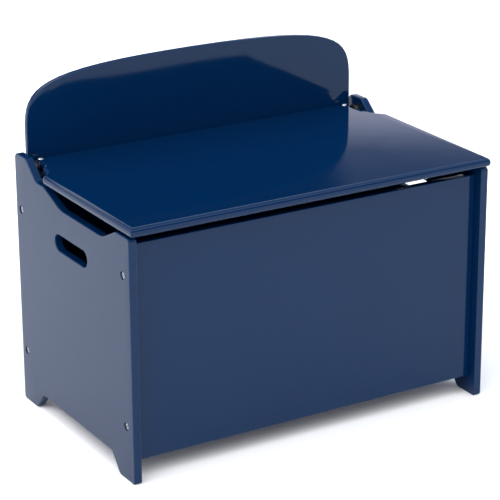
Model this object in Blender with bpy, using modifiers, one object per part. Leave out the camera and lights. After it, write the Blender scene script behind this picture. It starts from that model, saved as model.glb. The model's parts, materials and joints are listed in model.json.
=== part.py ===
"""Wooden toy box with an arched backrest and a lid on two friction hinges.

Metres, +Z up. The front faces -Y, and the origin is on the floor under the middle of the box.
Its boards are joined with dowels and with bolts that screw into barrel nuts.
"""
import math

import bmesh
import bpy
from mathutils import Matrix, Vector

# Driving dimensions of the box
WIDTH = 0.610
DEPTH = 0.363
GAP = 0.0003              # clearance kept between touching pieces
EDGE_ROUND = 0.0014       # rounding of the boards' edges
ARC_ERROR = 0.0001        # how far an arc's straight pieces may lie inside the arc
CUT_PAST = 0.005          # how far a cutter reaches past the face it starts from
FRONT_Y = -DEPTH / 2
BACK_Y = DEPTH / 2

# Side panels
SIDE_T = 0.0127
SIDE_TOP = 0.3720         # height of the flat top edge
INNER_X = WIDTH / 2 - SIDE_T
ARCH_H = 0.028            # clear height between the feet
FOOT_LEN = 0.045
FOOT_SLOPE = 0.024
FOOT_R = 0.004            # radii of the outline's corners, from the foot up
TOE_R = 0.010
ARCH_R = 0.005
EAR_R = 0.008
EAR_FOOT_R = 0.018
RECESS_R = 0.045
RECESS_REAR_R = 0.022
RECESS_FRONT_R = 0.012
TOP_R = 0.005
RECESS_Z = 0.352          # floor of the finger recess in the top edge
RECESS_FRONT = (0.040, 0.080)    # where its front ramp starts and ends, from the front edge
RECESS_BACK = (0.213, 0.267)     # the same for its long back ramp
EAR_TOP = 0.3998
EAR_FOOT_Y = 0.2930       # where the ear rises out of the top edge, from the front edge
EAR_HEAD_Y = 0.3260
SLOT_LEN = 0.103
SLOT_H = 0.0255
SLOT_Z = 0.2995

# Front, back and bottom boards
PANEL_T = 0.012
PANEL_X = INNER_X - GAP
PANEL_SETBACK = 0.015
FRONT_PANEL_Z = (0.030, 0.359)
BACK_PANEL_Z = (0.030, 0.362)
BACKREST_T = 0.009
BACKREST_INSET = 0.001    # from the side panels' rear edges
BACKREST_Z = (0.290, 0.5215)
BACKREST_X = 0.2875
SHOULDER_Z = 0.430        # where the backrest's sides start to curve in
SHOULDER_PULL = 0.0685    # how far the crown keeps rising beside the shoulders
CROWN_PULL = 0.268        # and how far it stays level from the middle
CROWN_STEPS = 16
BOTTOM_T = 0.006
BOTTOM_Z = 0.0453
GROOVE_DEPTH = 0.005
FRONT_INSIDE_Y = FRONT_Y + PANEL_SETBACK + PANEL_T
BACKREST_FRONT_Y = BACK_Y - BACKREST_INSET - BACKREST_T
BACK_PANEL_REAR_Y = BACKREST_FRONT_Y - GAP
BACK_INSIDE_Y = BACK_PANEL_REAR_Y - PANEL_T

# Lid
LID_T = 0.015
LID_BOTTOM = 0.3738
LID_TOP = LID_BOTTOM + LID_T
LID_FRONT_Y = FRONT_Y - 0.0055
LID_REAR_Y = BACKREST_FRONT_Y - 0.0015
LID_X = 0.3045            # half width in front of the ears
LID_NECK_X = 0.2875       # half width where the lid enters between the ears
LID_TONGUE_X = 0.2780     # half width beside the hinges
LID_ROUND = 0.0065        # the lid's edges are fuller than the other boards'
LID_REAR_ROUND = 0.004
LID_WIDE_END = 0.270      # where the lid narrows in front of the ears, from the front edge
LID_NECK = (0.287, 0.304)
LID_TONGUE = 0.318
LID_SHOULDER_R = 0.010    # radii of its outline, from the shoulders back
LID_NECK_FRONT_R = 0.012
LID_NECK_REAR_R = 0.010
LID_TONGUE_R = 0.008
LID_REAR_R = 0.007

# Hinges
PIVOT_Y = FRONT_Y + 0.334
PIVOT_Z = LID_BOTTOM + LID_T / 2
PIN_R = 0.003
PIN_HEAD_R = 0.0045
PIN_HEAD_H = 0.0014
WASHER_R = 0.007
WASHER_CHAMFER = 0.0005
PLATE_T = 0.002
PLATE_FOOT = (FRONT_Y + 0.318, 0.326)
PLATE_HEAD_R = 0.009
PLATE_FOOT_R = 0.008
PLATE_SCREW_STEP = 0.015
ARM_T = 0.002
ARM_TAB_X = 0.281         # inner face of the arm's upright tab
ARM_X = 0.262             # inner edge of the arm's flange
ARM_FRONT_Y = FRONT_Y + 0.270
ARM_TAB_R = 0.0088
ARM_SCREWS = (0.010, 0.030)    # from the arm's front end
LID_BOLT = (0.2715, FRONT_Y + 0.3435)
ARM_REAR_Y = LID_BOLT[1] + 0.007

# Fasteners
BOLT_R = 0.003
BOLT_LEN = 0.050
BOLT_HEAD_R = 0.00525
BOLT_HEAD_H = 0.003
BOLT_CHAMFER = 0.0008
BOLT_BORE_DEPTH = 0.044   # into the end of a board, a little past the bolt's tip
SOCKET_R = 0.0023
SOCKET_DEPTH = 0.002
COUNTERBORE_R = 0.006
COUNTERBORE_DEPTH = 0.0045
BARREL_R = 0.005
BARREL_LEN = 0.0105
BARREL_INSET = 0.030      # from the end of the board to the barrel's axis
BARREL_HOLE_Z = BARREL_LEN / 2 - 0.0004
BARREL_SLOT = (0.0072, 0.0012, 0.0012)    # length, width and depth
DOWEL_R = 0.004
DOWEL_LEN = 0.030
DOWEL_IN_SIDE = 0.009
DOWEL_CHAMFER = 0.001
BOLT_HEIGHTS = {"bottom": 0.0845, "top": 0.3135}
DOWEL_HEIGHTS = {"lower": 0.150, "upper": 0.250}
SCREW_R = 0.002
SCREW_LEN = 0.012
SCREW_POINT = 0.003
SCREW_TIP_R = 0.0006
SCREW_TIP_GAP = 0.0005    # clear depth past a screw's tip
PAN_HEAD_R = 0.0038
PAN_HEAD_H = 0.0022
FLAT_HEAD_R = 0.0042
FLAT_HEAD_H = 0.0026
COUNTERSINK_R = 0.0046
COUNTERSINK_DEPTH = 0.0028
CROSS_ARM = (0.0021, 0.0005)    # half length and half width of one bar of a cross recess
CROSS_DEPTH = 0.0012
LID_BOLT_TIP = 0.0045     # how far the lid bolt ends below the arm
LID_BOLT_R = 0.0025
LID_BOLT_HEAD_R = 0.0048
LID_BOLT_HEAD_H = 0.0022
LID_NUT_R = 0.0046
LID_NUT_H = 0.004
BACKREST_SCREW_LEN = 0.0175
BACKREST_SCREWS = (-0.240, -0.085, 0.085, 0.240)
BACKREST_SCREW_Z = 0.325

SIDES = {"left": -1, "right": 1}
JOINT_Y = {
    "front": FRONT_INSIDE_Y - PANEL_T / 2,
    "back": BACK_INSIDE_Y + PANEL_T / 2,
}
AXIS_ROTATION = {
    "X": Matrix.Rotation(math.pi / 2, 4, "Z") @ Matrix.Rotation(math.pi / 2, 4, "X"),
    "Y": Matrix.Rotation(math.pi / 2, 4, "X"),
    "Z": Matrix.Identity(4),
}


# ---------------------------------------------------------------- scene and materials
def clear_scene():
    for obj in list(bpy.data.objects):
        bpy.data.objects.remove(obj, do_unlink=True)


def make_collection(name):
    collection = bpy.data.collections.new(name)
    bpy.context.scene.collection.children.link(collection)
    return collection


def make_material(name, colour, roughness, metallic=0.0):
    material = bpy.data.materials.new(name)
    material.use_nodes = True
    shader = material.node_tree.nodes["Principled BSDF"]
    shader.inputs["Base Color"].default_value = (*colour, 1.0)
    shader.inputs["Roughness"].default_value = roughness
    shader.inputs["Metallic"].default_value = metallic
    return material


clear_scene()
PARTS = make_collection("toy_box")
CUTTERS = make_collection("cutters")
NAVY = make_material("navy_paint", (0.012, 0.034, 0.105), 0.32)
STEEL = make_material("zinc_steel", (0.62, 0.62, 0.60), 0.30, 1.0)
DARK_STEEL = make_material("dark_steel", (0.06, 0.06, 0.07), 0.40, 0.8)
BEECH = make_material("beech_dowel", (0.62, 0.42, 0.24), 0.60)
BLACK_PLASTIC = make_material("black_plastic", (0.02, 0.02, 0.02), 0.45)


# ---------------------------------------------------------------- shape helpers
def add_object(name, mesh, material, collection=PARTS):
    obj = bpy.data.objects.new(name, mesh)
    if material is not None and not mesh.materials:
        mesh.materials.append(material)
    collection.objects.link(obj)
    return obj


def add_cutter(name, mesh, matrix=None):
    cutter = add_object(name, mesh, None, CUTTERS)
    cutter.hide_render = True
    cutter.display_type = "WIRE"
    if matrix is not None:
        cutter.matrix_world = matrix
    return cutter


def box_mesh(name, low, high):
    """A box between two corners, given in the object's own space."""
    mesh = bpy.data.meshes.new(name)
    shape = bmesh.new()
    bmesh.ops.create_cube(shape, size=1.0)
    size = [b - a for a, b in zip(low, high)]
    middle = [(a + b) / 2 for a, b in zip(low, high)]
    bmesh.ops.scale(shape, vec=size, verts=shape.verts)
    bmesh.ops.translate(shape, vec=middle, verts=shape.verts)
    shape.to_mesh(mesh)
    shape.free()
    return mesh


def rod_mesh(name, radius, length, sides=12):
    """A cylinder along Z whose lower end is at the origin."""
    mesh = bpy.data.meshes.new(name)
    shape = bmesh.new()
    bmesh.ops.create_cone(
        shape, cap_ends=True, segments=sides, radius1=radius, radius2=radius, depth=length
    )
    bmesh.ops.translate(shape, vec=(0, 0, length / 2), verts=shape.verts)
    shape.to_mesh(mesh)
    shape.free()
    return mesh


def turned_mesh(name, profile, steps=12):
    """A solid turned about Z from (radius, height) points that run from its top to its bottom."""
    outline = bpy.data.meshes.new(name + "_profile")
    points = [(radius, 0, height) for radius, height in profile]
    edges = [(i, i + 1) for i in range(len(points) - 1)]
    outline.from_pydata(points, edges, [])
    lathe = add_object(name + "_lathe", outline, None)
    screw = lathe.modifiers.new("Turn", "SCREW")
    screw.steps = steps
    screw.render_steps = steps
    screw.use_merge_vertices = True
    screw.merge_threshold = 0.00001
    return baked_mesh(lathe, name)


def baked_mesh(obj, name):
    """The object's mesh with its modifiers applied. The object itself is removed."""
    graph = bpy.context.evaluated_depsgraph_get()
    graph.update()
    mesh = bpy.data.meshes.new_from_object(obj.evaluated_get(graph))
    mesh.name = name
    bpy.data.objects.remove(obj, do_unlink=True)
    return mesh


def rounded(corners):
    """A closed outline from (u, v, radius) corners, with an arc at each corner that has a radius."""
    points = []
    count = len(corners)
    for i, (u, v, radius) in enumerate(corners):
        here = Vector((u, v))
        if radius == 0:
            points.append(here)
            continue
        before = (Vector(corners[i - 1][:2]) - here).normalized()
        after = (Vector(corners[(i + 1) % count][:2]) - here).normalized()
        half = before.angle(after) / 2
        reach = radius / math.tan(half)
        centre = here + (before + after).normalized() * radius / math.sin(half)
        start = here + before * reach - centre
        turn = start.angle_signed(here + after * reach - centre)
        steps = math.ceil(abs(turn) / (2 * math.acos(1 - ARC_ERROR / radius)))
        for k in range(steps + 1):
            angle = -turn * k / steps
            points.append(centre + Matrix.Rotation(angle, 2) @ start)
    return points


def bezier(p0, p1, p2, p3, steps):
    """Points along one cubic curve, both ends included."""
    points = []
    for k in range(steps + 1):
        t = k / steps
        s = 1 - t
        weights = (s**3, 3 * s * s * t, 3 * s * t * t, t**3)
        points.append(sum((Vector(p) * w for p, w in zip((p0, p1, p2, p3), weights)), Vector((0, 0))))
    return points


def sheet_mesh(name, outline, thickness, rotation):
    """A flat outline with a thickness centred on its plane, turned to face the given way."""
    curve = bpy.data.curves.new(name + "_outline", "CURVE")
    curve.dimensions = "2D"
    curve.fill_mode = "BOTH"
    curve.extrude = thickness / 2
    spline = curve.splines.new("POLY")
    spline.points.add(len(outline) - 1)
    for point, place in zip(spline.points, outline):
        point.co = (place[0], place[1], 0, 1)
    spline.use_cyclic_u = True
    drawing = bpy.data.objects.new(name + "_outline", curve)
    PARTS.objects.link(drawing)
    mesh = baked_mesh(drawing, name)
    mesh.materials.clear()
    shape = bmesh.new()
    shape.from_mesh(mesh)
    bmesh.ops.remove_doubles(shape, verts=shape.verts, dist=0.000001)
    bmesh.ops.dissolve_limit(
        shape, angle_limit=math.radians(0.5), verts=shape.verts, edges=shape.edges
    )
    bmesh.ops.recalc_face_normals(shape, faces=shape.faces)
    shape.transform(rotation)
    shape.to_mesh(mesh)
    shape.free()
    return mesh


def upright_x(name, outline, thickness):
    """An outline in (y, z), with its thickness along X."""
    return sheet_mesh(name, outline, thickness, AXIS_ROTATION["X"])


def upright_y(name, outline, thickness):
    """An outline in (x, z), with its thickness along Y."""
    return sheet_mesh(name, outline, thickness, AXIS_ROTATION["Y"])


def level(name, outline, thickness):
    """An outline in (x, y), with its thickness along Z."""
    return sheet_mesh(name, outline, thickness, AXIS_ROTATION["Z"])


def rectangle(low, high, radius):
    return rounded([
        (low[0], low[1], radius), (high[0], low[1], radius),
        (high[0], high[1], radius), (low[0], high[1], radius),
    ])


def round_edges(obj, width, segments=2):
    bevel = obj.modifiers.new("Rounded edges", "BEVEL")
    bevel.width = width
    bevel.segments = segments
    bevel.limit_method = "ANGLE"
    bevel.angle_limit = math.radians(50)
    bevel.use_clamp_overlap = False
    return bevel


def cut(obj, *cutters):
    for cutter in cutters:
        boolean = obj.modifiers.new("Cut " + cutter.name, "BOOLEAN")
        boolean.operation = "DIFFERENCE"
        boolean.object = cutter
        carry(obj, cutter)


def carry(parent, child):
    """Parent an object where it stands. The parent may be shifted but not turned."""
    child.parent = parent
    child.matrix_parent_inverse = Matrix.Translation(-parent.location)


def shade(obj):
    """Smooth shading that keeps flat faces flat beside their rounded edges."""
    obj.data.shade_smooth()
    obj.data.set_sharp_from_angle(angle=math.radians(35))
    weighted = obj.modifiers.new("Flat faces", "WEIGHTED_NORMAL")
    weighted.keep_sharp = True


def aim(place, direction):
    """A matrix at a place whose +Z points along a direction."""
    turn = Vector(direction).to_track_quat("Z", "Y").to_matrix().to_4x4()
    return Matrix.Translation(place) @ turn


def hole(name, place, direction, radius, depth, sides=12):
    """A round cutter from a point on a face, going into the material along a direction."""
    overrun = 0.001
    start = Vector(place) - Vector(direction) * overrun
    mesh = rod_mesh(name, radius, depth + overrun, sides)
    return add_cutter(name, mesh, aim(start, direction))


def place_copy(name, mesh, material, matrix):
    obj = add_object(name, mesh, material)
    obj.matrix_world = matrix
    shade(obj)
    return obj


# ---------------------------------------------------------------- outlines
def side_outline():
    """The side panel in (distance from the front edge, height)."""
    toe = FOOT_LEN
    arch = FOOT_LEN + FOOT_SLOPE
    corners = [
        (0, 0, FOOT_R),
        (toe, 0, TOE_R),
        (arch, ARCH_H, ARCH_R),
        (DEPTH - arch, ARCH_H, ARCH_R),
        (DEPTH - toe, 0, TOE_R),
        (DEPTH, 0, FOOT_R),
        (DEPTH, EAR_TOP, EAR_R),
        (EAR_HEAD_Y, EAR_TOP, EAR_R),
        (EAR_FOOT_Y, SIDE_TOP, EAR_FOOT_R),
        (RECESS_BACK[1], SIDE_TOP, RECESS_REAR_R),
        (RECESS_BACK[0], RECESS_Z, RECESS_R),
        (RECESS_FRONT[1], RECESS_Z, RECESS_R),
        (RECESS_FRONT[0], SIDE_TOP, RECESS_FRONT_R),
        (0, SIDE_TOP, TOP_R),
    ]
    return [(u + FRONT_Y, v) for u, v in rounded(corners)]


def backrest_outline():
    """The backrest in (x, height): straight sides and one smooth crown, the same left and right."""
    bottom, top = BACKREST_Z
    crown = bezier(
        (BACKREST_X, SHOULDER_Z), (BACKREST_X, SHOULDER_Z + SHOULDER_PULL),
        (CROWN_PULL, top), (0, top), CROWN_STEPS,
    )
    right = [Vector((BACKREST_X, bottom))] + crown
    left = [Vector((-p.x, p.y)) for p in reversed(right[:-1])]
    return right + left


def lid_outline():
    """The lid in (x, y): full width in front, a narrower neck between the ears, and a tongue."""
    right = [
        (LID_X, LID_FRONT_Y, 0),
        (LID_X, FRONT_Y + LID_WIDE_END, LID_SHOULDER_R),
        (LID_NECK_X, FRONT_Y + LID_NECK[0], LID_NECK_FRONT_R),
        (LID_NECK_X, FRONT_Y + LID_NECK[1], LID_NECK_REAR_R),
        (LID_TONGUE_X, FRONT_Y + LID_TONGUE, LID_TONGUE_R),
        (LID_TONGUE_X, LID_REAR_Y, LID_REAR_R),
    ]
    left = [(-x, y, radius) for x, y, radius in reversed(right)]
    return rounded(right + left)


def link_outline(head, head_r, foot, foot_r, steps=8):
    """Two round ends joined by straight flanks, as on a hinge plate."""
    a, b = Vector(head), Vector(foot)
    along = a - b
    tilt = math.atan2(along.y, along.x)
    lean = math.asin((foot_r - head_r) / along.length)
    points = []
    for centre, radius, start, sweep in (
        (a, head_r, tilt - math.pi / 2 + lean, math.pi - 2 * lean),
        (b, foot_r, tilt + math.pi / 2 - lean, math.pi + 2 * lean),
    ):
        for k in range(steps + 1):
            angle = start + sweep * k / steps
            points.append(centre + radius * Vector((math.cos(angle), math.sin(angle))))
    return points


# ---------------------------------------------------------------- boards
def side_panel(side, sign):
    name = side + "_side_panel"
    panel = add_object(name, upright_x(name, side_outline(), SIDE_T), NAVY)
    panel.location.x = sign * (INNER_X + SIDE_T / 2)
    cut(panel, handle_slot(side, sign))
    round_edges(panel, EDGE_ROUND)
    cut(panel, side_groove(side, sign))
    outer = sign * WIDTH / 2
    for end, y in JOINT_Y.items():
        for tier, z in BOLT_HEIGHTS.items():
            label = f"{side}_{end}_{tier}"
            cut(
                panel,
                hole("bolt_hole_" + label, (outer, y, z), (-sign, 0, 0), BOLT_R + GAP, SIDE_T * 1.2),
                hole("counterbore_" + label, (outer, y, z), (-sign, 0, 0), COUNTERBORE_R,
                     COUNTERBORE_DEPTH, 20),
            )
        for tier, z in DOWEL_HEIGHTS.items():
            cut(panel, hole(
                f"dowel_hole_side_{side}_{end}_{tier}", (sign * INNER_X, y, z), (sign, 0, 0),
                DOWEL_R + GAP, DOWEL_IN_SIDE + GAP,
            ))
    for number, (y, z) in enumerate(plate_screw_places(), 1):
        cut(panel, hole(
            f"plate_screw_hole_{side}_{number}", (sign * INNER_X, y, z), (sign, 0, 0),
            SCREW_R + GAP, SCREW_LEN - PLATE_T + SCREW_TIP_GAP,
        ))
    shade(panel)


def handle_slot(side, sign):
    """The grip hole: a slot with half-round ends through the side panel."""
    low = (-SLOT_LEN / 2, SLOT_Z - SLOT_H / 2)
    high = (SLOT_LEN / 2, SLOT_Z + SLOT_H / 2)
    outline = rectangle(low, high, SLOT_H / 2 * 0.98)
    slot = add_cutter("handle_slot_" + side, upright_x("slot_" + side, outline, SIDE_T * 2))
    slot.location.x = sign * (INNER_X + SIDE_T / 2)
    return slot


def side_groove(side, sign):
    """The groove in the side's inner face that holds the end of the bottom board."""
    deep = INNER_X + GROOVE_DEPTH
    low_x, high_x = sorted((sign * (INNER_X - CUT_PAST), sign * deep))
    low = (low_x, FRONT_INSIDE_Y - GROOVE_DEPTH, BOTTOM_Z - GAP)
    high = (high_x, BACK_INSIDE_Y + GROOVE_DEPTH, BOTTOM_Z + BOTTOM_T + GAP)
    return add_cutter("groove_" + side, box_mesh("groove_" + side, low, high))


def joint_panel(name, end, height):
    """The front or back board, with its grooves and the holes for its bolts, nuts and dowels."""
    y = JOINT_Y[end]
    inward = 1 if end == "front" else -1
    low, high = height
    outline = [(-PANEL_X, low), (PANEL_X, low), (PANEL_X, high), (-PANEL_X, high)]
    panel = add_object(name, upright_y(name, outline, PANEL_T), NAVY)
    panel.location.y = y
    round_edges(panel, EDGE_ROUND)
    inside = y + inward * PANEL_T / 2
    low_y, high_y = sorted((inside - inward * GROOVE_DEPTH, inside + inward * CUT_PAST))
    groove = box_mesh(
        "groove_" + end,
        (-WIDTH / 2, low_y, BOTTOM_Z - GAP), (WIDTH / 2, high_y, BOTTOM_Z + BOTTOM_T + GAP),
    )
    cut(panel, add_cutter("groove_" + end, groove))
    for side, sign in SIDES.items():
        face = sign * PANEL_X
        for tier, z in BOLT_HEIGHTS.items():
            label = f"{side}_{end}_{tier}"
            cut(
                panel,
                hole("bolt_bore_" + label, (face, y, z), (-sign, 0, 0), BOLT_R + GAP, BOLT_BORE_DEPTH),
                hole("barrel_bore_" + label, (sign * (INNER_X - BARREL_INSET), inside, z),
                     (0, -inward, 0), BARREL_R + GAP, BARREL_LEN + 2 * GAP),
            )
        for tier, z in DOWEL_HEIGHTS.items():
            cut(panel, hole(
                f"dowel_hole_{end}_{side}_{tier}", (face, y, z), (-sign, 0, 0),
                DOWEL_R + GAP, DOWEL_LEN - DOWEL_IN_SIDE + GAP,
            ))
    return panel


def back_board():
    panel = joint_panel("back_panel", "back", BACK_PANEL_Z)
    for number, x in enumerate(BACKREST_SCREWS, 1):
        cut(panel, hole(
            f"backrest_screw_bore_{number}", (x, BACK_PANEL_REAR_Y, BACKREST_SCREW_Z), (0, -1, 0),
            SCREW_R + GAP, BACKREST_SCREW_LEN - BACKREST_T + SCREW_TIP_GAP,
        ))
    shade(panel)


def backrest():
    """The arched board behind the lid, screwed to the back panel from behind."""
    board = add_object("backrest", upright_y("backrest", backrest_outline(), BACKREST_T), NAVY)
    board.location.y = BACKREST_FRONT_Y + BACKREST_T / 2
    round_edges(board, EDGE_ROUND)
    rear = BACKREST_FRONT_Y + BACKREST_T
    for number, x in enumerate(BACKREST_SCREWS, 1):
        sink = turned_mesh(f"countersink_{number}", [
            (0, CUT_PAST), (COUNTERSINK_R, CUT_PAST), (COUNTERSINK_R, 0),
            (SCREW_R + GAP, -COUNTERSINK_DEPTH),
            (SCREW_R + GAP, -BACKREST_T - CUT_PAST), (0, -BACKREST_T - CUT_PAST),
        ])
        cut(board, add_cutter(
            f"backrest_screw_hole_{number}", sink, aim((x, rear, BACKREST_SCREW_Z), (0, 1, 0))
        ))
    shade(board)


def bottom_board():
    """The thin floor of the box, held in grooves on all four sides."""
    reach = GROOVE_DEPTH - GAP
    low = (-INNER_X - reach, FRONT_INSIDE_Y - reach, BOTTOM_Z)
    high = (INNER_X + reach, BACK_INSIDE_Y + reach, BOTTOM_Z + BOTTOM_T)
    add_object("bottom_panel", box_mesh("bottom_panel", low, high), NAVY)


def weigh_lid_edges(mesh):
    """Full rounding along the lid's top and bottom edges, less of it along the rear."""
    weights = mesh.attributes.new("bevel_weight_edge", "FLOAT", "EDGE")
    rear = LID_REAR_Y - PIVOT_Y - GAP
    for edge in mesh.edges:
        a, b = (mesh.vertices[i].co for i in edge.vertices)
        if abs(a.z - b.z) > GAP:
            continue
        at_rear = min(a.y, b.y) > rear
        weights.data[edge.index].value = LID_REAR_ROUND / LID_ROUND if at_rear else 1.0


def lid_board():
    """The lid, with its origin on the hinge axis."""
    mesh = level("lid", lid_outline(), LID_T)
    mesh.transform(Matrix.Translation((0, -PIVOT_Y, 0)))
    weigh_lid_edges(mesh)
    lid = add_object("lid", mesh, NAVY)
    lid.location = (0, PIVOT_Y, PIVOT_Z)
    round_edges(lid, LID_ROUND, 5).limit_method = "WEIGHT"
    for side, sign in SIDES.items():
        x, y = LID_BOLT
        cut(lid, hole(f"lid_bolt_hole_{side}", (sign * x, y, LID_TOP), (0, 0, -1),
                      LID_BOLT_R + GAP, LID_T + CUT_PAST))
        for number, y in enumerate(arm_screw_ys(), 1):
            cut(lid, hole(
                f"arm_screw_hole_{side}_{number}", (sign * arm_middle(), y, LID_BOTTOM), (0, 0, 1),
                SCREW_R + GAP, SCREW_LEN - ARM_T - 2 * GAP + SCREW_TIP_GAP,
            ))
    shade(lid)


# ---------------------------------------------------------------- hinges
def plate_screw_places():
    """Three screws along the side plate, as (y, z)."""
    foot = Vector(PLATE_FOOT)
    along = (Vector((PIVOT_Y, PIVOT_Z)) - foot).normalized()
    return [foot + along * PLATE_SCREW_STEP * k for k in range(3)]


def arm_screw_ys():
    return [ARM_FRONT_Y + distance for distance in ARM_SCREWS]


def arm_middle():
    return (ARM_X + ARM_TAB_X) / 2


def side_plate(side, sign):
    """The fixed half of a hinge: a steel link screwed to the inside of the side panel."""
    name = side + "_hinge_plate"
    outline = link_outline((PIVOT_Y, PIVOT_Z), PLATE_HEAD_R, PLATE_FOOT, PLATE_FOOT_R)
    plate = add_object(name, upright_x(name, outline, PLATE_T), DARK_STEEL)
    plate.location.x = sign * (INNER_X - GAP - PLATE_T / 2)
    face = sign * (INNER_X - GAP - PLATE_T)
    cut(plate, hole("pin_hole_plate_" + side, (face, PIVOT_Y, PIVOT_Z), (sign, 0, 0),
                    PIN_R + GAP, PLATE_T * 2))
    for number, (y, z) in enumerate(plate_screw_places(), 1):
        cut(plate, hole(f"plate_hole_{side}_{number}", (face, y, z), (sign, 0, 0),
                        SCREW_R + GAP, PLATE_T * 2))
    shade(plate)


def hinge_arm(side, sign):
    """The moving half of a hinge: a flange under the lid and a tab that turns on the pin."""
    name = side + "_hinge_arm"
    tab_outer = ARM_TAB_X + ARM_T
    top = LID_BOTTOM - GAP
    low_x, high_x = sorted((sign * ARM_X, sign * tab_outer))
    flange = box_mesh(
        name, (low_x, ARM_FRONT_Y, top - ARM_T), (high_x, ARM_REAR_Y, top)
    )
    flange.transform(Matrix.Translation((0, -PIVOT_Y, -PIVOT_Z)))
    arm = add_object(name, flange, DARK_STEEL)
    arm.location = (0, PIVOT_Y, PIVOT_Z)
    tab_foot = top - ARM_T + 0.0002
    outline = [(PIVOT_Y - ARM_TAB_R, tab_foot), (PIVOT_Y + ARM_TAB_R, tab_foot)]
    steps = 12
    for k in range(steps + 1):
        angle = math.pi * k / steps
        outline.append((PIVOT_Y + ARM_TAB_R * math.cos(angle), PIVOT_Z + ARM_TAB_R * math.sin(angle)))
    tab = add_cutter("tab_" + side, upright_x("tab_" + side, outline, ARM_T - 0.0001))
    tab.location.x = sign * (ARM_TAB_X + ARM_T / 2)
    join = arm.modifiers.new("Tab", "BOOLEAN")
    join.operation = "UNION"
    join.object = tab
    carry(arm, tab)
    x, y = LID_BOLT
    face = sign * ARM_TAB_X
    cut(
        arm,
        hole("pin_hole_arm_" + side, (face, PIVOT_Y, PIVOT_Z), (sign, 0, 0), PIN_R + GAP, ARM_T * 2),
        hole("lid_bolt_hole_arm_" + side, (sign * x, y, top), (0, 0, -1), LID_BOLT_R + GAP,
             ARM_T * 2),
    )
    for number, y in enumerate(arm_screw_ys(), 1):
        cut(arm, hole(f"arm_hole_{side}_{number}", (sign * arm_middle(), y, top), (0, 0, -1),
                      SCREW_R + GAP, ARM_T * 2))
    shade(arm)


def pivot_pins():
    """A headed pin through the arm and the side plate, with a thick friction washer between them."""
    start = ARM_TAB_X - GAP
    reach = INNER_X - GAP - start
    pin = turned_mesh("hinge_pin", [
        (0, PIN_HEAD_H), (PIN_HEAD_R * 0.8, PIN_HEAD_H), (PIN_HEAD_R, PIN_HEAD_H / 2), (PIN_HEAD_R, 0),
        (PIN_R, 0), (PIN_R, -reach), (0, -reach),
    ])
    thick = INNER_X - 2 * GAP - PLATE_T - (ARM_TAB_X + ARM_T + GAP)
    bore = PIN_R + GAP
    face_r = WASHER_R - WASHER_CHAMFER
    washer = turned_mesh("friction_washer", [
        (bore, thick), (face_r, thick), (WASHER_R, thick - WASHER_CHAMFER),
        (WASHER_R, WASHER_CHAMFER), (face_r, 0), (bore, 0), (bore, thick),
    ], 16)
    for side, sign in SIDES.items():
        inward = (-sign, 0, 0)
        place_copy(side + "_hinge_pin", pin, STEEL, aim((sign * start, PIVOT_Y, PIVOT_Z), inward))
        seat = sign * (INNER_X - 2 * GAP - PLATE_T)
        place_copy(
            side + "_friction_washer", washer, BLACK_PLASTIC, aim((seat, PIVOT_Y, PIVOT_Z), inward)
        )


# ---------------------------------------------------------------- fasteners
def socket_bolt_mesh():
    """A connector bolt: a low head with a hexagon socket, its seat at z = 0, and a plain shank."""
    blank = add_object("bolt_blank", turned_mesh("side_bolt", [
        (0, BOLT_HEAD_H), (BOLT_HEAD_R - BOLT_CHAMFER, BOLT_HEAD_H),
        (BOLT_HEAD_R, BOLT_HEAD_H - BOLT_CHAMFER), (BOLT_HEAD_R, 0), (BOLT_R, 0),
        (BOLT_R, -BOLT_LEN + BOLT_CHAMFER), (BOLT_R - BOLT_CHAMFER, -BOLT_LEN), (0, -BOLT_LEN),
    ], 16), STEEL)
    socket = rod_mesh("hexagon_socket", SOCKET_R, SOCKET_DEPTH * 2, 6)
    floor = Matrix.Translation((0, 0, BOLT_HEAD_H - SOCKET_DEPTH))
    cut(blank, add_cutter("hexagon_socket", socket, floor))
    return baked_mesh(blank, "side_bolt")


def barrel_nut_mesh():
    """A steel barrel along Z with a cross hole for the bolt, and a screwdriver slot in one end."""
    blank = add_object("barrel_blank", rod_mesh("barrel_nut", BARREL_R, BARREL_LEN), STEEL)
    through = hole(
        "barrel_cross_hole", (-BARREL_R, 0, BARREL_HOLE_Z), (1, 0, 0), BOLT_R + GAP, BARREL_R * 3
    )
    length, width, depth = BARREL_SLOT
    slot = box_mesh(
        "barrel_slot",
        (-length / 2, -width / 2, BARREL_LEN - depth), (length / 2, width / 2, BARREL_LEN + CUT_PAST),
    )
    cut(blank, through, add_cutter("barrel_slot", slot))
    return baked_mesh(blank, "barrel_nut")


def dowel_mesh():
    end_r = DOWEL_R - DOWEL_CHAMFER
    return turned_mesh("dowel", [
        (0, DOWEL_LEN), (end_r, DOWEL_LEN), (DOWEL_R, DOWEL_LEN - DOWEL_CHAMFER),
        (DOWEL_R, DOWEL_CHAMFER), (end_r, 0), (0, 0),
    ])


def screw_mesh(name, profile):
    """A wood screw turned from its profile, with a cross recess in its head."""
    blank = add_object(name + "_blank", turned_mesh(name, profile), STEEL)
    top = profile[0][1]
    for letter, (x, y) in zip("ab", (CROSS_ARM, reversed(CROSS_ARM))):
        label = f"{name}_cross_{letter}"
        bar = box_mesh(label, (-x, -y, top - CROSS_DEPTH), (x, y, top + CUT_PAST))
        cut(blank, add_cutter(label, bar))
    return baked_mesh(blank, name)


def pan_screw_mesh():
    return screw_mesh("pan_screw", [
        (0, PAN_HEAD_H), (PAN_HEAD_R * 0.8, PAN_HEAD_H * 0.8), (PAN_HEAD_R, PAN_HEAD_H * 0.3),
        (PAN_HEAD_R, 0), (SCREW_R, 0), (SCREW_R, -SCREW_LEN + SCREW_POINT),
        (SCREW_TIP_R, -SCREW_LEN), (0, -SCREW_LEN),
    ])


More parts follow.
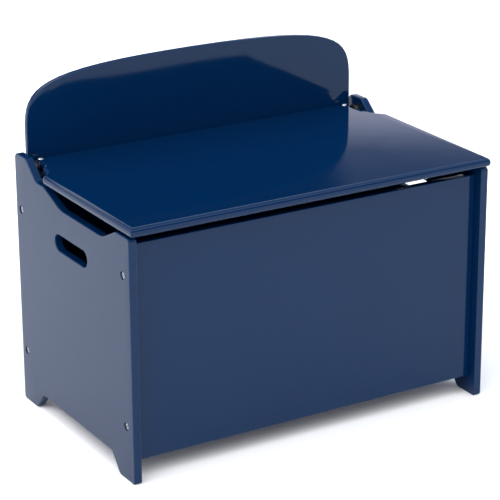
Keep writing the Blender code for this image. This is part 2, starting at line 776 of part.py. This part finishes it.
def flat_screw_mesh():
    length = BACKREST_SCREW_LEN
    return screw_mesh("flat_screw", [
        (0, 0), (FLAT_HEAD_R, 0), (SCREW_R, -FLAT_HEAD_H), (SCREW_R, -length + SCREW_POINT),
        (SCREW_TIP_R, -length), (0, -length),
    ])


def board_fasteners():
    """Two bolts with barrel nuts and two dowels at each corner of the box."""
    bolt, barrel, dowel = socket_bolt_mesh(), barrel_nut_mesh(), dowel_mesh()
    seat = WIDTH / 2 - COUNTERBORE_DEPTH + GAP
    for side, sign in SIDES.items():
        for end, y in JOINT_Y.items():
            inward = 1 if end == "front" else -1
            barrel_x = sign * (INNER_X - BARREL_INSET)
            barrel_y = y - inward * BARREL_HOLE_Z
            for tier, z in BOLT_HEIGHTS.items():
                place = aim((sign * seat, y, z), (sign, 0, 0))
                place_copy(f"{side}_{end}_{tier}_bolt", bolt, STEEL, place)
                place = aim((barrel_x, barrel_y, z), (0, inward, 0))
                place_copy(f"{side}_{end}_{tier}_barrel_nut", barrel, STEEL, place)
            for tier, z in DOWEL_HEIGHTS.items():
                place = aim((sign * (INNER_X + DOWEL_IN_SIDE), y, z), (-sign, 0, 0))
                place_copy(f"{side}_{end}_{tier}_dowel", dowel, BEECH, place)


def lid_bolts():
    """A dome-headed bolt through the lid and the arm on each side, with a nut below."""
    x, y = LID_BOLT
    shank = LID_T + ARM_T + LID_BOLT_TIP
    steps = 4
    dome = []
    for k in range(steps + 1):
        angle = math.pi / 2 * k / steps
        dome.append((LID_BOLT_HEAD_R * math.sin(angle), LID_BOLT_HEAD_H * math.cos(angle)))
    bolt = turned_mesh("lid_bolt", dome + [(LID_BOLT_R, 0), (LID_BOLT_R, -shank), (0, -shank)], 16)
    blank = add_object("nut_blank", rod_mesh("lid_nut", LID_NUT_R, LID_NUT_H, 6), STEEL)
    cut(blank, hole("nut_bore", (0, 0, 0), (0, 0, 1), LID_BOLT_R + GAP, LID_NUT_H * 2))
    nut = baked_mesh(blank, "lid_nut")
    nut_z = LID_BOTTOM - ARM_T - 2 * GAP - LID_NUT_H
    for side, sign in SIDES.items():
        place = Matrix.Translation((sign * x, y, LID_TOP + GAP))
        place_copy(side + "_lid_bolt", bolt, STEEL, place)
        place_copy(side + "_lid_nut", nut, STEEL, Matrix.Translation((sign * x, y, nut_z)))


def small_screws():
    pan, flat = pan_screw_mesh(), flat_screw_mesh()
    for side, sign in SIDES.items():
        face = sign * (INNER_X - 2 * GAP - PLATE_T)
        for number, (y, z) in enumerate(plate_screw_places(), 1):
            place_copy(f"{side}_plate_screw_{number}", pan, STEEL, aim((face, y, z), (-sign, 0, 0)))
        seat = LID_BOTTOM - ARM_T - 2 * GAP
        for number, y in enumerate(arm_screw_ys(), 1):
            place = aim((sign * arm_middle(), y, seat), (0, 0, -1))
            place_copy(f"{side}_arm_screw_{number}", pan, STEEL, place)
    rear = BACKREST_FRONT_Y + BACKREST_T
    for number, x in enumerate(BACKREST_SCREWS, 1):
        place = aim((x, rear - 0.0004, BACKREST_SCREW_Z), (0, 1, 0))
        place_copy(f"backrest_screw_{number}", flat, STEEL, place)


def hang_lid():
    """An empty on the hinge axis carries everything that turns with the lid."""
    axis = bpy.data.objects.new("lid_hinge_axis", None)
    axis.location = (0, PIVOT_Y, PIVOT_Z)
    PARTS.objects.link(axis)
    carry(axis, bpy.data.objects["lid"])
    for side in SIDES:
        for piece in ("hinge_arm", "lid_bolt", "lid_nut", "arm_screw_1", "arm_screw_2"):
            carry(axis, bpy.data.objects[f"{side}_{piece}"])


def build():
    for side, sign in SIDES.items():
        side_panel(side, sign)
        side_plate(side, sign)
        hinge_arm(side, sign)
    shade(joint_panel("front_panel", "front", FRONT_PANEL_Z))
    back_board()
    backrest()
    bottom_board()
    lid_board()
    pivot_pins()
    board_fasteners()
    lid_bolts()
    small_screws()
    hang_lid()


build()
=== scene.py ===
"""A painted wooden toy box in a plain white studio.

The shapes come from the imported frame. The edge shading, the materials and the light are made here.
"""

import json
import math

import bmesh
import bpy
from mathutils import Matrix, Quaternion, Vector


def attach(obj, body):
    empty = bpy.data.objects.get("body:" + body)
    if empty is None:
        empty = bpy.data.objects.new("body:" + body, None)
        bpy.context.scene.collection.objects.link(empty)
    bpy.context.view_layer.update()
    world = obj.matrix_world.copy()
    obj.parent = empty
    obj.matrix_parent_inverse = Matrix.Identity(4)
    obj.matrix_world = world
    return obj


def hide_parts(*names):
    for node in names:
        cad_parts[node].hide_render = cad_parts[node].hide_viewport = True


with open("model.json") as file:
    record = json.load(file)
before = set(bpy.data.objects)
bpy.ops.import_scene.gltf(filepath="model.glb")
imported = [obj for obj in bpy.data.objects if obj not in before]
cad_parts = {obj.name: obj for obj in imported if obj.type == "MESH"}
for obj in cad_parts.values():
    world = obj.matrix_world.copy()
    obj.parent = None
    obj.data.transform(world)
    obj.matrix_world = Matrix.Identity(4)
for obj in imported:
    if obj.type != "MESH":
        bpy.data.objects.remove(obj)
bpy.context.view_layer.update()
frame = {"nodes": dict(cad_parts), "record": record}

# Camera, in front of the box, to its left and above it
CAMERA_PLACE = (-1.574, -2.632, 1.373)
CAMERA_AZIMUTH = math.radians(30.82)
CAMERA_DROP = math.radians(20.246)
CAMERA_ROLL = math.radians(-0.27)
CAMERA_LENS = 154.8
CAMERA_REACH = 50              # far end of what it sees, in metres

FLOOR_HALF_SIZE = 12
FLOOR_COLOUR = (0.93, 0.93, 0.93)
FLOOR_ROUGHNESS = 0.85
FLOOR_SPECULAR = 0.2

# Studio light by direction. Heights are sines of the angle above the floor, and each edge is a low and a
# high value between which one light turns smoothly into the other.
SWEEP_EDGE = (0.289, 0.301)    # height of the top of the bright sweep that stands low all round the box
SWEEP_LIGHT = (1.30, 1.30, 1.55)
BACKWARD = (0.51, 0.86, 0.0)
BACKWARD_EDGE = (-0.35, 0.30)
FRONT_LIGHT = (1.40, 1.40, 1.42)
BACK_LIGHT = (0.13, 0.16, 0.20)
CEILING_EDGE = (0.45, 0.62)    # heights where the wall light turns into the ceiling light
CEILING_LIGHT = (2.45, 2.45, 2.45)

# Round patches in that light: the middle's direction, the cosines of the outer and inner edge, the light
PATCHES = (
    # A dark gap low at the front right, which the lid and the backrest mirror in each other
    ((0.481, -0.806, 0.346), (0.955, 0.980), (0.14, 0.15, 0.17)),
    # A dim patch overhead, which the lid's rounded front edge mirrors
    ((0.48, 0.18, 0.86), (0.820, 0.930), (0.55, 0.75, 1.00)),
    # A dark backdrop behind the box, to its left
    ((0.363, 0.860, 0.360), (0.9826, 0.9851), (0.01, 0.02, 0.03)),
    # A broad lamp overhead, to the left
    ((-0.62, -0.15, 0.77), (0.950, 0.982), (5.5, 5.6, 6.0)),
)

WELD = 0.00001                     # corners closer than this become one
FLAT_ANGLE = math.radians(0.4)     # faces that meet at less than this are one flat face
SMOOTH_ANGLE = math.radians(50)    # edges sharper than this stay sharp
ROUNDED_FACE = 0.0024              # faces narrower than this belong to a rounded edge


# ---------------------------------------------------------------- studio
def add_camera():
    data = bpy.data.cameras.new("camera")
    data.lens = CAMERA_LENS
    data.clip_end = CAMERA_REACH
    camera = bpy.data.objects.new("camera", data)
    bpy.context.scene.collection.objects.link(camera)
    ahead = Vector((
        math.sin(CAMERA_AZIMUTH) * math.cos(CAMERA_DROP),
        math.cos(CAMERA_AZIMUTH) * math.cos(CAMERA_DROP),
        -math.sin(CAMERA_DROP),
    ))
    camera.location = CAMERA_PLACE
    camera.rotation_mode = "QUATERNION"
    camera.rotation_quaternion = ahead.to_track_quat("-Z", "Y") @ Quaternion((0, 0, 1), CAMERA_ROLL)
    bpy.context.scene.camera = camera


def add_floor():
    mesh = bpy.data.meshes.new("floor")
    shape = bmesh.new()
    bmesh.ops.create_grid(shape, x_segments=1, y_segments=1, size=FLOOR_HALF_SIZE)
    shape.to_mesh(mesh)
    shape.free()
    floor = bpy.data.objects.new("floor", mesh)
    bpy.context.scene.collection.objects.link(floor)
    nodes = Nodes("studio_floor")
    nodes.set(nodes.shader, "Base Color", (*FLOOR_COLOUR, 1))
    nodes.set(nodes.shader, "Roughness", FLOOR_ROUGHNESS)
    nodes.set(nodes.shader, "Specular IOR Level", FLOOR_SPECULAR)
    mesh.materials.append(nodes.material)


def add_world():
    """Light by direction: a bright low sweep, dim above it at the back, and a soft ceiling with patches."""
    world = bpy.data.worlds.new("studio")
    world.use_nodes = True
    tree = world.node_tree
    toward = tree.nodes.new("ShaderNodeTexCoord").outputs["Generated"]
    split = tree.nodes.new("ShaderNodeSeparateXYZ")
    tree.links.new(toward, split.inputs[0])
    height = split.outputs["Z"]
    behind = smooth_step(tree, facing(tree, toward, BACKWARD), *BACKWARD_EDGE)
    light = colour_mix(tree, behind, FRONT_LIGHT, BACK_LIGHT)
    light = colour_mix(tree, smooth_step(tree, height, *CEILING_EDGE), light, CEILING_LIGHT)
    light = colour_mix(tree, smooth_step(tree, height, *SWEEP_EDGE), SWEEP_LIGHT, light)
    for direction, edge, colour in PATCHES:
        patch = smooth_step(tree, facing(tree, toward, direction), *edge)
        light = colour_mix(tree, patch, light, colour)
    tree.links.new(light, tree.nodes["Background"].inputs["Color"])
    bpy.context.scene.world = world


def facing(tree, toward, direction):
    """Cosine of the angle between each light direction and a given one."""
    dot = tree.nodes.new("ShaderNodeVectorMath")
    dot.operation = "DOT_PRODUCT"
    dot.inputs[1].default_value = Vector(direction).normalized()
    tree.links.new(toward, dot.inputs[0])
    return dot.outputs["Value"]


def smooth_step(tree, value, low, high):
    step = tree.nodes.new("ShaderNodeMapRange")
    step.interpolation_type = "SMOOTHSTEP"
    step.inputs["From Min"].default_value = low
    step.inputs["From Max"].default_value = high
    tree.links.new(value, step.inputs["Value"])
    return step.outputs["Result"]


def colour_mix(tree, factor, a, b):
    """Mix two colours; each is a plain colour or another node's output."""
    mix = tree.nodes.new("ShaderNodeMix")
    mix.data_type = "RGBA"
    mix.clamp_result = False
    tree.links.new(factor, mix.inputs["Factor"])
    for name, colour in (("A", a), ("B", b)):
        socket = next(s for s in mix.inputs if s.name == name and s.type == "RGBA")
        if isinstance(colour, tuple):
            socket.default_value = (*colour[:3], 1)
        else:
            tree.links.new(colour, socket)
    return next(s for s in mix.outputs if s.type == "RGBA")


# ---------------------------------------------------------------- materials
class Nodes:
    """A material's node tree with short helpers."""

    def __init__(self, name):
        self.material = bpy.data.materials.new(name)
        self.material.use_nodes = True
        self.tree = self.material.node_tree
        self.shader = self.tree.nodes["Principled BSDF"]
        self.place = self.tree.nodes.new("ShaderNodeTexCoord").outputs["Object"]

    def set(self, node, name, value):
        node.inputs[name].default_value = value

    def link(self, output, node, name):
        self.tree.links.new(output, node.inputs[name])

    def stretched(self, scale):
        mapping = self.tree.nodes.new("ShaderNodeMapping")
        mapping.inputs["Scale"].default_value = scale
        self.tree.links.new(self.place, mapping.inputs["Vector"])
        return mapping.outputs["Vector"]

    def noise(self, scale, detail=3.0, stretch=None):
        noise = self.tree.nodes.new("ShaderNodeTexNoise")
        noise.inputs["Scale"].default_value = scale
        noise.inputs["Detail"].default_value = detail
        where = self.place if stretch is None else self.stretched(stretch)
        self.tree.links.new(where, noise.inputs["Vector"])
        return noise.outputs["Fac"]

    def ramp(self, value, low, high):
        """Noise, which mostly runs from 0.3 to 0.7, spread between two values."""
        spread = self.tree.nodes.new("ShaderNodeMapRange")
        spread.inputs["From Min"].default_value = 0.3
        spread.inputs["From Max"].default_value = 0.7
        spread.inputs["To Min"].default_value = low
        spread.inputs["To Max"].default_value = high
        self.tree.links.new(value, spread.inputs["Value"])
        return spread.outputs["Result"]

    def maths(self, operation, a, b):
        node = self.tree.nodes.new("ShaderNodeMath")
        node.operation = operation
        for socket, value in zip(node.inputs, (a, b)):
            if isinstance(value, float):
                socket.default_value = value
            else:
                self.tree.links.new(value, socket)
        return node.outputs[0]

    def attribute(self, name):
        node = self.tree.nodes.new("ShaderNodeAttribute")
        node.attribute_name = name
        return node.outputs["Fac"]

    def bump(self, height, strength, distance, below=None):
        bump = self.tree.nodes.new("ShaderNodeBump")
        bump.inputs["Strength"].default_value = strength
        bump.inputs["Distance"].default_value = distance
        self.tree.links.new(height, bump.inputs["Height"])
        if below is not None:
            self.tree.links.new(below, bump.inputs["Normal"])
        return bump.outputs["Normal"]


def navy_paint():
    """Semi-gloss spray paint: cloudy colour, faint orange peel, and on the rounded edges patches that are
    duller and lighter, a painted highlight.
    """
    m = Nodes("navy_paint")
    cloud = m.ramp(m.noise(9.0, 4.0), 0.0, 1.0)
    body = colour_mix(m.tree, cloud, (0.0002, 0.0130, 0.0505), (0.0003, 0.0138, 0.0535))
    patchy = m.ramp(m.noise(160.0, 4.0), 0.0, 0.55)
    # Painted highlight: patches along the rounded edges get a lighter navy, and more roughness below
    edge_highlight_and_dullness = m.maths("MULTIPLY", m.attribute("rounded"), patchy)
    colour = colour_mix(m.tree, edge_highlight_and_dullness, body, (0.0060, 0.0280, 0.0900))
    m.link(colour, m.shader, "Base Color")
    smear = m.ramp(m.noise(14.0, 5.0), 0.055, 0.070)
    rough = m.maths("ADD", smear, m.maths("MULTIPLY", edge_highlight_and_dullness, 0.10))
    m.link(rough, m.shader, "Roughness")
    m.set(m.shader, "IOR", 1.33)
    m.set(m.shader, "Specular Tint", (0.82, 0.96, 1.0, 1))
    grain = m.bump(m.noise(45.0, 2.0, (1.0, 1.0, 0.35)), 0.03, 0.0004)
    m.link(m.bump(m.noise(420.0, 2.0), 0.05, 0.00008, grain), m.shader, "Normal")
    return m.material


def zinc_steel():
    """Bright zinc plating with a crystalline mottle and fine turning marks."""
    m = Nodes("zinc_steel")
    mottle = m.ramp(m.noise(700.0, 4.0), 0.0, 1.0)
    m.link(colour_mix(m.tree, mottle, (0.36, 0.37, 0.39), (0.60, 0.61, 0.63)), m.shader, "Base Color")
    m.set(m.shader, "Metallic", 1.0)
    m.link(m.ramp(m.noise(300.0, 3.0), 0.16, 0.34), m.shader, "Roughness")
    m.link(m.bump(m.noise(900.0, 2.0, (1.0, 1.0, 4.0)), 0.12, 0.00008), m.shader, "Normal")
    return m.material


def dark_steel():
    """Satin black coating over pressed steel, rubbed bare in specks."""
    m = Nodes("dark_steel")
    rubbed = m.ramp(m.noise(220.0, 6.0), -0.6, 0.5)
    m.link(colour_mix(m.tree, rubbed, (0.016, 0.016, 0.018), (0.12, 0.12, 0.125)), m.shader, "Base Color")
    m.set(m.shader, "Metallic", 0.7)
    m.link(m.ramp(m.noise(120.0, 4.0), 0.30, 0.48), m.shader, "Roughness")
    m.link(m.bump(m.noise(800.0, 3.0), 0.15, 0.0001), m.shader, "Normal")
    return m.material


def beech():
    """Pale beech with grain and short darker flecks along the dowel."""
    m = Nodes("beech")
    grain = m.ramp(m.noise(60.0, 6.0, (1.0, 12.0, 12.0)), 0.0, 1.0)
    base = colour_mix(m.tree, grain, (0.52, 0.33, 0.18), (0.68, 0.47, 0.28))
    fleck = m.ramp(m.noise(180.0, 2.0, (1.0, 8.0, 8.0)), -1.2, 1.0)
    m.link(colour_mix(m.tree, fleck, base, (0.36, 0.21, 0.11)), m.shader, "Base Color")
    m.link(m.ramp(grain, 0.50, 0.66), m.shader, "Roughness")
    m.link(m.bump(grain, 0.25, 0.0002), m.shader, "Normal")
    return m.material


def black_plastic():
    """Moulded black plastic with a fine matt grain."""
    m = Nodes("black_plastic")
    cloud = m.ramp(m.noise(140.0, 3.0), 0.0, 1.0)
    m.link(colour_mix(m.tree, cloud, (0.012, 0.012, 0.013), (0.024, 0.024, 0.025)), m.shader, "Base Color")
    m.link(m.ramp(m.noise(400.0, 3.0), 0.42, 0.58), m.shader, "Roughness")
    m.link(m.bump(m.noise(1500.0, 2.0), 0.2, 0.00005), m.shader, "Normal")
    return m.material


# ---------------------------------------------------------------- pieces
def narrow(face):
    """Whether a face is a strip of a rounded edge, by twice its area over its longest side.

    That is the height of a triangle, and twice the width of a long strip.
    """
    longest = max(edge.calc_length() for edge in face.edges)
    return 2 * face.calc_area() / longest < ROUNDED_FACE


def smooth_copy(node):
    """The node's mesh, welded, smooth over its rounded edges and flat on its faces, with the edges marked."""
    mesh = node.data.copy()
    shape = bmesh.new()
    shape.from_mesh(mesh)
    bmesh.ops.remove_doubles(shape, verts=shape.verts, dist=WELD)
    bmesh.ops.dissolve_limit(shape, angle_limit=FLAT_ANGLE, verts=shape.verts, edges=shape.edges)
    layer = shape.faces.layers.float.new("rounded")
    for face in shape.faces:
        face.smooth = True
        face[layer] = float(narrow(face))
    bmesh.ops.triangulate(shape, faces=[face for face in shape.faces if len(face.verts) > 4])
    shape.to_mesh(mesh)
    shape.free()
    if mesh.has_custom_normals:
        mesh.attributes.remove(mesh.attributes["custom_normal"])
    mesh.set_sharp_from_angle(angle=SMOOTH_ANGLE)
    return mesh


def finish_node(name, body, material):
    mesh = smooth_copy(frame["nodes"][name])
    mesh.name = "finished_" + name
    mesh.materials.clear()
    mesh.materials.append(material)
    piece = bpy.data.objects.new("finished_" + name, mesh)
    bpy.context.scene.collection.objects.link(piece)
    weighted = piece.modifiers.new("Flat faces", "WEIGHTED_NORMAL")
    weighted.keep_sharp = True
    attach(piece, body)
    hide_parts(name)


def finish_all():
    materials = {
        "navy_paint": navy_paint(),
        "zinc_steel": zinc_steel(),
        "dark_steel": dark_steel(),
        "beech": beech(),
        "black_plastic": black_plastic(),
    }
    slots = {part["node"]: part["material_slot"] for part in frame["record"]["subparts"]}
    for body, names in frame["record"]["behaviour"]["bodies"].items():
        for name in sorted(names):
            finish_node(name, body, materials[slots[name]])


finish_all()
add_camera()
add_floor()
add_world()
bpy.context.scene.view_settings.view_transform = "Standard"
